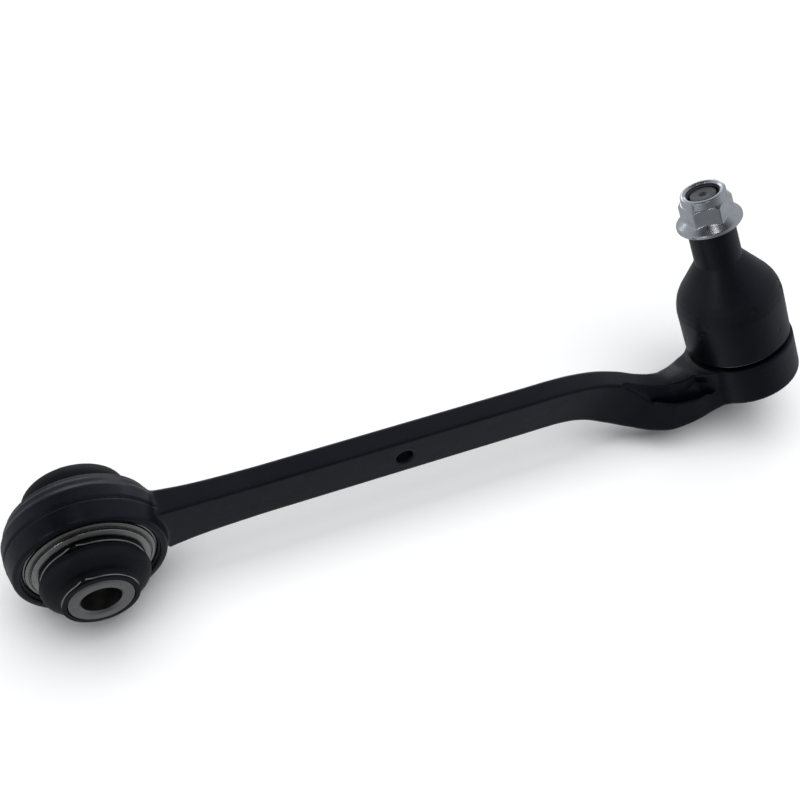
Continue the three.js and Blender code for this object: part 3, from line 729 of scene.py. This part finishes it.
# ---------------------------------------------------------------- ball joint
def ball_seats():
    sphere = BALL_RADIUS + 0.3
    wall = HOUSING_BORE - 0.3

    def angle_at(height):
        return math.degrees(math.asin(height / sphere))

    upper = arc(sphere, angle_at(0.15), angle_at(7.6), 14) + [(wall - 0.6, 7.7), (wall, 7.1), (wall, 0.15)]
    lower = arc(sphere, angle_at(-8.6), angle_at(-0.15), 14)
    lower += [(wall, -0.15), (wall, -8.0), (wall - 0.6, -8.6)]
    for label, profile, body in (("upper", upper, "stud_bearing"), ("lower", lower, "arm")):
        piece = lathe(f"seat_{label}", STUD, profile, 112)
        finished(piece, seat_plastic(), body, "seat_plastic", f"ball_seat_{label}")


def cover_plate():
    profile = rounded([
        (0, -13.4), (6.5, -13.25), (10.5, -12.5), (13.2, -11.0), (14.2, -10.4, 0.6), (17.5, -10.4, 0.3),
        (17.5, -9.2, 0.3), (13.8, -9.2), (12.2, -10.4), (9.8, -11.4), (6.2, -12.1), (0, -12.25),
    ], 1.5, segments=4)
    piece = lathe("housing_plate", STUD, profile, 128)
    finished(piece, plate_steel(), "arm", "plate_steel", "housing_cover_plate")


def threaded(radius, height, angle):
    """Cuts a vee thread into the stretch of the stud above its undercut."""
    turns = height / THREAD_PITCH - angle / (2 * math.pi)
    vee = np.abs((turns % 1) - 0.5) * 2
    run_in = np.clip((height - 60.0) / 1.2, 0, 1) * np.clip((STUD_TOP - 1.6 - height) / 1.0, 0, 1)
    on_thread = (height > 59.9) & (height < STUD_TOP - 1.5) & (radius > 6.5)
    depth = 0.8 * np.clip(vee * 1.25 - 0.15, 0, 1) * run_in
    return radius - np.where(on_thread, depth, 0), height


def ball_stud():
    flat_edge = -math.degrees(math.asin(9.6 / BALL_RADIUS))
    neck_edge = math.degrees(math.acos(6.2 / BALL_RADIUS))
    lower = rounded([
        (0, -9.6),
        *[(r, h, 0) for r, h in arc(BALL_RADIUS, flat_edge, neck_edge, 32)],
        (6.2, 14.6, 1.5),
        (7.1, 17, 1.5),
        (8.9, 20.6, 0.8),
        (8.9, 23, 0.5),
        (7.5, 56, 0.4),
        (6.1, 57.4, 0.5),
        (6.1, 59.2, 0.5),
        (THREAD_RADIUS, 60.0),
    ], 0.4)
    thread = [(THREAD_RADIUS, h) for h in np.arange(60.0, STUD_TOP - 1.4, THREAD_PITCH / 10)]
    top = rounded([
        (THREAD_RADIUS, STUD_TOP - 1.4),
        (THREAD_RADIUS - 1.0, STUD_TOP, 0.3),
        (1.9, STUD_TOP, 0.2),
        (0.9, STUD_TOP - 1.0, 0.2),
        (0, STUD_TOP - 1.1),
    ], 0.2)
    piece = lathe("stud_with_ball", STUD, lower[:-1] + thread + top, 96, threaded, sharp=50)
    finished(piece, stud_steel(), "stud", "stud_steel", "ball_stud")


def dust_boot():
    outside = flowing([
        (22.6, 10.7), (22.0, 11.4), (21.75, 12.1), (22.2, 13.0), (22.7, 15.5), (22.4, 19.0),
        (19.6, 22.6), (15.4, 25.0), (12.4, 27.0), (11.5, 28.6), (12.1, 30.0), (12.2, 31.4),
    ], 56)
    inside = flowing([
        (9.4, 31.6), (9.4, 27.0), (13.8, 23.6), (18.0, 21.2),
        (20.6, 18.4), (20.9, 14.6), (20.5, 12.8), (20.5, 10.7),
    ], 34)
    piece = lathe("inner_dust_boot", STUD, outside + inside, 128, sharp=60)
    finished(piece, black_rubber(), None, "black_rubber", "dust_boot")
    blend_on_stud(piece)
    foot = round_ring("dust_boot_ring_foot", STUD, 22.85, 12.0)
    finished(foot, wire_steel(), "arm", "wire_steel", "dust_boot_foot_ring")
    lip = round_ring("dust_boot_ring_lip", STUD, 12.5, 28.7)
    finished(lip, wire_steel(), "stud_cap", "wire_steel", "dust_boot_lip_ring")


def blend_on_stud(piece):
    """Bakes the piece's placement into its mesh; the piece is not bent."""
    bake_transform(piece)


# Knocks in the cover's shoulder: angle in degrees, height, radius and depth (negative stands proud).
KNOCK_STRENGTH = 1.8
COVER_KNOCKS = (
    (-42, 38.5, 1.3, 0.35), (-37, 41.5, 0.9, 0.25), (-150, 37.0, 1.5, 0.22), (-156, 33.2, 1.1, 0.3),
    (-160, 29.5, 1.0, -0.2), (-95, 39.8, 1.2, 0.18), (40, 36.0, 1.2, 0.25), (75, 31.0, 1.6, 0.2),
    (120, 40.5, 1.0, 0.3), (170, 24.0, 1.4, 0.18), (-70, 22.0, 1.1, 0.15), (15, 45.0, 0.9, 0.2),
)


def knocked(radius, height, angle):
    """Presses the knocks into the outside of the cover and gives it a slight unevenness."""
    outer = radius > np.interp(height, [13, 35, 45, 60, 80], [24, 23.9, 20.4, 10.2, 10.2])
    wave = 0.10 * np.sin(3 * angle + 0.08 * height) + 0.06 * np.sin(5 * angle - 0.11 * height + 1.3)
    change = wave * np.interp(height, [13, 25, 45, 60], [0.3, 1, 1, 0])
    for degrees, middle, size, depth in COVER_KNOCKS:
        turn = (angle - math.radians(degrees) + math.pi) % (2 * math.pi) - math.pi
        apart = np.hypot(turn * radius, height - middle)
        change = change - KNOCK_STRENGTH * depth * np.exp(-(apart / size) ** 2 * 1.6)
    return radius + np.where(outer, change, 0), height


def stud_cover():
    outside = rounded([
        (COVER_RADIUS, 13.2),
        (COVER_RADIUS, COVER_SHOULDER, 6),
        (COVER_RADIUS - 0.6, COVER_SHOULDER + 3.6, 6),
        (COVER_RADIUS - 1.7, COVER_SHOULDER + 7.0, 6),
        (COVER_RADIUS - 3.5, COVER_SHOULDER + 10.3, 6),
        (11.0, 60.0, 0.5),
        (10.8, 78.8, 0.4),
        (10.3, 79.3, 0.2),
    ], 1.0, segments=5)
    outside = refined(outside + [(10.0, 79.3)], 0.9)
    inside = flowing([
        (9.1, 79.3), (9.1, 69.0), (9.1, 59.8), (19.7, 44.6), (21.7, 41.0),
        (22.9, 36.5), (23.3, 30.0), (23.3, 13.2),
    ], 40)
    piece = lathe("joint_cover", STUD, outside + inside, 208, knocked, sharp=42)
    finished(piece, cover_plastic(), None, "cover_plastic", "stud_cover")
    blend_on_stud(piece)


# ---------------------------------------------------------------- lock nut
NUT_FLANGE_TOP = NUT_SEAT + 2.2
NUT_LOWER_PROFILE = rounded([
    (NUT_BORE, NUT_SEAT + 1),
    (NUT_BORE + 1.6, NUT_SEAT, 0.3),
    (14.6, NUT_SEAT, 0.3),
    (15.0, NUT_SEAT + 0.5, 0.4),
    (15.0, NUT_SEAT + 1.5, 0.7),
    (14.3, NUT_FLANGE_TOP),
], 0.4, segments=5)
NUT_UPPER_PROFILE = rounded([
    (NUT_COLLAR_RADIUS + 0.4, NUT_HEX_TOP),
    (NUT_COLLAR_RADIUS, NUT_HEX_TOP + 0.1, 0.3),
    (NUT_COLLAR_RADIUS, NUT_COLLAR_TOP - 0.5, 1.6),
    (NUT_COLLAR_RADIUS - 1.4, NUT_COLLAR_TOP, 0.9),
    (NUT_COLLAR_RADIUS - 2.6, NUT_COLLAR_TOP - 0.7, 0.5),
    (NUT_COLLAR_RADIUS - 2.6, NUT_COLLAR_TOP - 1.3, 0.2),
    (NUT_COLLAR_RADIUS - 1.2, NUT_COLLAR_TOP - 1.5, 0.2),
    (NUT_COLLAR_RADIUS - 1.2, NUT_HEX_TOP - 0.2, 0.2),
    (NUT_BORE, NUT_HEX_TOP - 0.2, 0.2),
    (NUT_BORE, NUT_SEAT + 1),
], 0.4, segments=5)


def nut_side(height, angle):
    """Radius of the nut between its flange and its collar: a chamfered hexagon on the flange's cone."""
    sector = math.pi / 3
    within = (angle - math.radians(NUT_TURN)) % sector - sector / 2
    hexagon = joined(NUT_ACROSS_FLATS / 2 / np.cos(within), NUT_CORNER, 0.10)
    chamfer = NUT_COLLAR_RADIUS + 0.5 + (NUT_HEX_TOP - height) * 1.3
    cone = 14.3 - (height - NUT_FLANGE_TOP) * 1.38
    return -joined(-joined(hexagon, chamfer, 0.12), -cone, 0.5)


def hexagonal(radius, height, angle):
    """Gives the nut's outside between flange and collar its hexagon."""
    outside = (radius > NUT_COLLAR_RADIUS + 0.3) & (height >= NUT_FLANGE_TOP - 0.01)
    return np.where(outside, nut_side(height, angle), radius), height


def lock_nut():
    sides = [(NUT_CORNER, h) for h in np.arange(NUT_FLANGE_TOP + 0.15, NUT_HEX_TOP, 0.13)]
    profile = NUT_LOWER_PROFILE + sides + NUT_UPPER_PROFILE[:-1]
    piece = lathe("flange_nut", STUD, refined(profile, 1.2, loop=True), 240, hexagonal, sharp=30)
    finished(piece, zinc_plate(), "nut", "zinc_plate", "lock_nut")
    insert_profile = rounded([
        (NUT_BORE, NUT_HEX_TOP + 0.3),
        (NUT_COLLAR_RADIUS - 1.5, NUT_HEX_TOP + 0.3),
        (NUT_COLLAR_RADIUS - 1.5, NUT_COLLAR_TOP - 1.6),
        (NUT_BORE, NUT_COLLAR_TOP - 1.6),
    ], 0.35, loop=True)
    insert = lathe("locking_ring", STUD, insert_profile, 128)
    finished(insert, insert_plastic(), "nut_carrier", "insert_plastic", "nut_insert")


# ---------------------------------------------------------------- materials
class Look:
    """A procedural material: a Principled shader, object coordinates and short helpers for detail."""

    def __init__(self, name, roughness, metallic=0.0, specular=0.5, tint=(1.0, 1.0, 1.0)):
        self.material = bpy.data.materials.new(name)
        self.material.use_nodes = True
        self.tree = self.material.node_tree
        self.shader = self.tree.nodes["Principled BSDF"]
        self.shader.inputs["Roughness"].default_value = roughness
        self.shader.inputs["Metallic"].default_value = metallic
        self.shader.inputs["Specular IOR Level"].default_value = specular
        self.shader.inputs["Specular Tint"].default_value = (*tint, 1.0)
        self.place = self.tree.nodes.new("ShaderNodeTexCoord").outputs["Object"]

    def node(self, kind, inputs=(), **settings):
        """Adds a node; inputs are pairs of socket name or number and a value or an output."""
        made = self.tree.nodes.new(kind)
        for key, value in settings.items():
            setattr(made, key, value)
        for key, value in inputs:
            if isinstance(value, bpy.types.NodeSocket):
                self.tree.links.new(value, made.inputs[key])
            else:
                made.inputs[key].default_value = value
        return made

    def noise(self, scale, detail=3.0, rough=0.55, stretch=None):
        """Fractal noise from 0 to 1; scale is in features per metre."""
        place = self.place
        if stretch:
            place = self.node("ShaderNodeMapping", [("Vector", place), ("Scale", stretch)]).outputs[0]
        inputs = [("Vector", place), ("Scale", scale), ("Detail", detail), ("Roughness", rough)]
        return self.node("ShaderNodeTexNoise", inputs).outputs["Fac"]

    def spots(self, scale, size):
        """1 in small scattered spots and 0 elsewhere."""
        cells = self.node("ShaderNodeTexVoronoi", [("Vector", self.place), ("Scale", scale)])
        return self.fade(cells.outputs["Distance"], size, 0.0)

    def fade(self, value, low, high, to_low=0.0, to_high=1.0):
        """Maps a value from low..high to to_low..to_high, held at both ends."""
        inputs = [("Value", value), ("From Min", low), ("From Max", high), ("To Min", to_low),
                  ("To Max", to_high)]
        return self.node("ShaderNodeMapRange", inputs, clamp=True).outputs[0]

    def maths(self, operation, a, b=0.0):
        return self.node("ShaderNodeMath", [(0, a), (1, b)], operation=operation).outputs[0]

    def blend(self, amount, first, second):
        """Colour mix; first and second are colours or outputs."""
        ends = [value if isinstance(value, bpy.types.NodeSocket) else (*value, 1.0)
                for value in (first, second)]
        inputs = [(0, amount), (6, ends[0]), (7, ends[1])]
        return self.node("ShaderNodeMix", inputs, data_type="RGBA").outputs[2]

    def turning_marks(self, place, scale):
        """Fine lines round a turning axis, as a lathe tool leaves them."""
        origin = tuple(place.origin * MM)
        away = self.node("ShaderNodeVectorMath", [(0, self.place), (1, origin)], operation="SUBTRACT")
        rows = []
        for axis in place.basis:
            rows.append(self.node("ShaderNodeVectorMath", [(0, away.outputs[0]), (1, tuple(axis))],
                                  operation="DOT_PRODUCT").outputs["Value"])
        squared = self.maths("ADD", self.maths("MULTIPLY", rows[0], rows[0]),
                             self.maths("MULTIPLY", rows[1], rows[1]))
        radius = self.maths("SQRT", squared)
        where = self.node("ShaderNodeCombineXYZ", [(0, radius), (1, rows[2])]).outputs[0]
        inputs = [("Vector", where), ("Scale", scale), ("Detail", 2.0), ("Roughness", 0.6)]
        return self.node("ShaderNodeTexNoise", inputs).outputs["Fac"]

    def paint(self, colour, roughness=None):
        self.tree.links.new(colour, self.shader.inputs["Base Color"])
        if roughness is not None:
            self.tree.links.new(roughness, self.shader.inputs["Roughness"])

    def bump(self, layers):
        """Stacks bump from pairs of height output and depth in metres."""
        normal = None
        for height, depth in layers:
            inputs = [("Height", height), ("Distance", depth), ("Strength", 1.0)]
            if normal:
                inputs.append(("Normal", normal))
            normal = self.node("ShaderNodeBump", inputs).outputs[0]
        self.tree.links.new(normal, self.shader.inputs["Normal"])


LOOKS = {}


def shared(make):
    """Makes each material once, however many pieces use it."""
    def wrapped():
        if make.__name__ not in LOOKS:
            LOOKS[make.__name__] = make().material
        return LOOKS[make.__name__]
    return wrapped


@shared
def black_coat():
    look = Look("black_coat_on_forging", 0.42, specular=0.46, tint=(0.80, 0.87, 1.0))
    drift = look.noise(26, 4)
    fine = look.noise(900, 3, 0.6)
    grain = look.noise(260, 4, 0.6)
    dust = look.fade(look.noise(3300, 2, 0.7), 0.66, 0.80)
    base = look.blend(look.fade(drift, 0.35, 0.7), (0.0009, 0.0011, 0.0023), (0.0020, 0.0024, 0.0044))
    base = look.blend(look.maths("MULTIPLY", dust, 0.25), base, (0.05, 0.05, 0.05))
    rough = look.fade(grain, 0.3, 0.75, 0.27, 0.40)
    rough = look.maths("ADD", rough, look.maths("MULTIPLY", look.fade(drift, 0.4, 0.7), 0.06))
    look.paint(colour=base, roughness=rough)
    look.bump([(look.noise(55, 3), 0.00022), (grain, 0.00006), (fine, 0.000022)])
    return look


@shared
def cover_plastic():
    look = Look("cover_satin_black", 0.36, specular=0.5, tint=(0.82, 0.88, 1.0))
    drift = look.noise(38, 4)
    fine = look.noise(1400, 3, 0.6)
    pits = look.spots(210, 0.10)
    base = look.blend(look.fade(drift, 0.35, 0.7), (0.0011, 0.0013, 0.0024), (0.0026, 0.0028, 0.0042))
    base = look.blend(look.maths("MULTIPLY", look.fade(look.noise(2600, 2), 0.68, 0.8), 0.15), base,
                      (0.04, 0.04, 0.04))
    look.paint(colour=base, roughness=look.fade(drift, 0.3, 0.75, 0.30, 0.43))
    sunk = look.maths("MULTIPLY", pits, -1.0)
    look.bump([(look.noise(120, 3), 0.00010), (sunk, 0.00003), (fine, 0.000012)])
    return look


@shared
def black_rubber():
    look = Look("moulded_black_rubber", 0.55, specular=0.4, tint=(0.88, 0.92, 1.0))
    drift = look.noise(70, 4)
    base = look.blend(look.fade(drift, 0.35, 0.75), (0.0014, 0.0017, 0.0026), (0.0032, 0.0036, 0.0048))
    base = look.blend(look.maths("MULTIPLY", look.fade(look.noise(1900, 2), 0.64, 0.78), 0.15), base,
                      (0.04, 0.04, 0.04))
    look.paint(colour=base, roughness=look.fade(drift, 0.3, 0.75, 0.46, 0.62))
    look.bump([(look.noise(160, 3), 0.00008), (look.noise(1500, 3, 0.6), 0.000018)])
    return look


def metal(name, low, high, roughness, place, marks=2600.0, mark_depth=0.000008):
    """A bare metal with tool marks, faint stains and small spots of tarnish."""
    look = Look(name, roughness, metallic=1.0)
    drift = look.noise(120, 4)
    stain = look.fade(look.noise(420, 4, 0.65), 0.55, 0.75)
    lines = look.turning_marks(place, marks)
    base = look.blend(look.fade(drift, 0.3, 0.75), low, high)
    base = look.blend(look.maths("MULTIPLY", stain, 0.35), base, tuple(c * 0.55 for c in low))
    rough = look.fade(drift, 0.3, 0.7, roughness - 0.05, roughness + 0.07)
    rough = look.maths("ADD", rough, look.maths("MULTIPLY", stain, 0.10))
    rough = look.maths("ADD", rough, look.fade(lines, 0.3, 0.7, -0.03, 0.04))
    look.paint(colour=base, roughness=rough)
    look.bump([(look.noise(500, 3), 0.00001), (lines, mark_depth)])
    return look


@shared
def turned_steel():
    return metal("turned_sleeve_steel", (0.31, 0.30, 0.29), (0.38, 0.37, 0.36), 0.36, SLEEVE)


@shared
def ring_steel():
    return metal("pressed_ring_steel", (0.40, 0.39, 0.37), (0.50, 0.49, 0.47), 0.25, SLEEVE, 1500.0)


@shared
def plate_steel():
    return metal("pressed_plate_steel", (0.20, 0.20, 0.20), (0.28, 0.28, 0.28), 0.38, STUD, 1200.0)


@shared
def wire_steel():
    return metal("sprung_wire_steel", (0.40, 0.40, 0.40), (0.50, 0.50, 0.50), 0.24, SLEEVE, 900.0, 0.000003)


@shared
def stud_steel():
    return metal("dark_stud_steel", (0.14, 0.14, 0.15), (0.22, 0.22, 0.23), 0.38, STUD)


@shared
def zinc_plate():
    look = Look("bright_zinc_plate", 0.25, metallic=1.0)
    drift = look.noise(160, 4)
    cloud = look.noise(650, 4, 0.65)
    base = look.blend(look.fade(drift, 0.3, 0.75), (0.72, 0.75, 0.79), (0.86, 0.88, 0.92))
    base = look.blend(look.maths("MULTIPLY", look.fade(cloud, 0.56, 0.75), 0.45), base, (0.50, 0.52, 0.55))
    look.paint(colour=base, roughness=look.fade(cloud, 0.3, 0.75, 0.18, 0.33))
    look.bump([(look.noise(240, 3), 0.000030), (cloud, 0.000006), (look.noise(3000, 2), 0.000002)])
    return look


@shared
def seat_plastic():
    look = Look("bearing_seat_plastic", 0.45)
    drift = look.noise(150, 4)
    look.paint(colour=look.blend(look.fade(drift, 0.3, 0.75), (0.58, 0.55, 0.47), (0.68, 0.65, 0.57)),
               roughness=look.fade(drift, 0.3, 0.7, 0.40, 0.52))
    look.bump([(look.noise(1200, 3), 0.00001)])
    return look


@shared
def insert_plastic():
    look = Look("nut_insert_plastic", 0.5)
    drift = look.noise(300, 4)
    look.paint(colour=look.blend(look.fade(drift, 0.3, 0.75), (0.020, 0.022, 0.027), (0.035, 0.037, 0.044)),
               roughness=look.fade(drift, 0.3, 0.7, 0.42, 0.58))
    look.bump([(look.noise(1500, 3), 0.00001)])
    return look


# ---------------------------------------------------------------- stage
def camera():
    """The viewing angle of the reference: about 50 degrees above the arm, with a slight roll."""
    data = bpy.data.cameras.new("camera")
    data.sensor_width = 36.0
    data.lens = CAMERA_LENS
    data.shift_x, data.shift_y = CAMERA_SHIFT
    data.clip_start = 0.01
    turn = Matrix((CAMERA_RIGHT, CAMERA_UP, CAMERA_BACK)).transposed().to_4x4()
    made = bpy.data.objects.new("camera", data)
    made.matrix_world = Matrix.Translation(CAMERA_PLACE) @ turn
    bpy.context.scene.collection.objects.link(made)
    bpy.context.scene.camera = made


def floor():
    size = 4.0
    height = cad_box[0].z - 0.0004
    mesh = bpy.data.meshes.new("floor")
    corners = [(-size, -size, height), (size, -size, height), (size, size, height), (-size, size, height)]
    mesh.from_pydata(corners, [], [(0, 1, 2, 3)])
    made = bpy.data.objects.new("floor", mesh)
    bpy.context.scene.collection.objects.link(made)
    look = Look("pale_floor", 0.9, specular=0.1)
    look.paint(colour=look.blend(look.noise(6, 2), (0.86, 0.86, 0.86), (0.88, 0.88, 0.88)))
    mesh.materials.append(look.material)
    made.visible_glossy = False


def softbox(name, place, size, power, glossy=True, diffuse=True):
    """Soft rectangular light aimed at the arm. It can be kept off gloss or off matt surfaces."""
    data = bpy.data.lights.new(name, "AREA")
    data.shape = "RECTANGLE"
    data.size, data.size_y = size
    data.energy = power
    made = bpy.data.objects.new(name, data)
    made.location = place
    made.rotation_mode = "QUATERNION"
    made.rotation_quaternion = (LIGHTS_AIM - Vector(place)).to_track_quat("-Z", "Y")
    made.visible_glossy = glossy
    made.visible_diffuse = diffuse
    bpy.context.scene.collection.objects.link(made)


def dimmed(tree, value, stretch, strengths):
    """Maps one coordinate of the direction from a stretch to a pair of strengths."""
    made = tree.nodes.new("ShaderNodeMapRange")
    tree.links.new(value, made.inputs["Value"])
    made.inputs["From Min"].default_value, made.inputs["From Max"].default_value = stretch
    made.inputs["To Min"].default_value, made.inputs["To Max"].default_value = strengths
    return made.outputs[0]


def surround():
    """A cool grey room, darker in front of the arm and above it."""
    world = bpy.data.worlds.new("studio")
    world.use_nodes = True
    tree = world.node_tree
    background = tree.nodes["Background"]
    background.inputs["Color"].default_value = (0.91, 0.94, 1.0, 1.0)
    direction = tree.nodes.new("ShaderNodeTexCoord").outputs["Generated"]
    parts = tree.nodes.new("ShaderNodeSeparateXYZ")
    tree.links.new(direction, parts.inputs[0])
    height = tree.nodes.new("ShaderNodeVectorMath")
    height.operation = "DOT_PRODUCT"
    height.inputs[1].default_value = (-0.35, 0.0, 0.94)
    tree.links.new(direction, height.inputs[0])
    strength = tree.nodes.new("ShaderNodeMath")
    strength.operation = "MULTIPLY"
    tree.links.new(dimmed(tree, parts.outputs["Y"], (-0.96, -0.50), (0.12, 0.36)), strength.inputs[0])
    tree.links.new(dimmed(tree, height.outputs["Value"], (0.90, 0.60), (0.08, 1.0)), strength.inputs[1])
    tree.links.new(strength.outputs[0], background.inputs["Strength"])
    bpy.context.scene.world = world


def light():
    """One light for the floor, and small ones that only show in gloss."""
    softbox("floor_light", (0.15, 0.0, 1.9), (2.6, 2.6), 62, glossy=False)
    softbox("left_box", (-0.75, -0.15, 0.75), (0.2, 0.2), 0.5, diffuse=False)
    softbox("top_box", (-0.05, 0.0, 1.1), (0.2, 0.2), 0.3, diffuse=False)
    softbox("back_panel", (0.45, 1.15, 0.15), (1.6, 0.30), 1.7, diffuse=False)


def build():
    bpy.context.scene.view_settings.view_transform = "Standard"
    camera()
    floor()
    surround()
    light()
    forged_arm()
    sleeve_joint()
    ball_seats()
    cover_plate()
    ball_stud()
    dust_boot()
    stud_cover()
    lock_nut()


build()
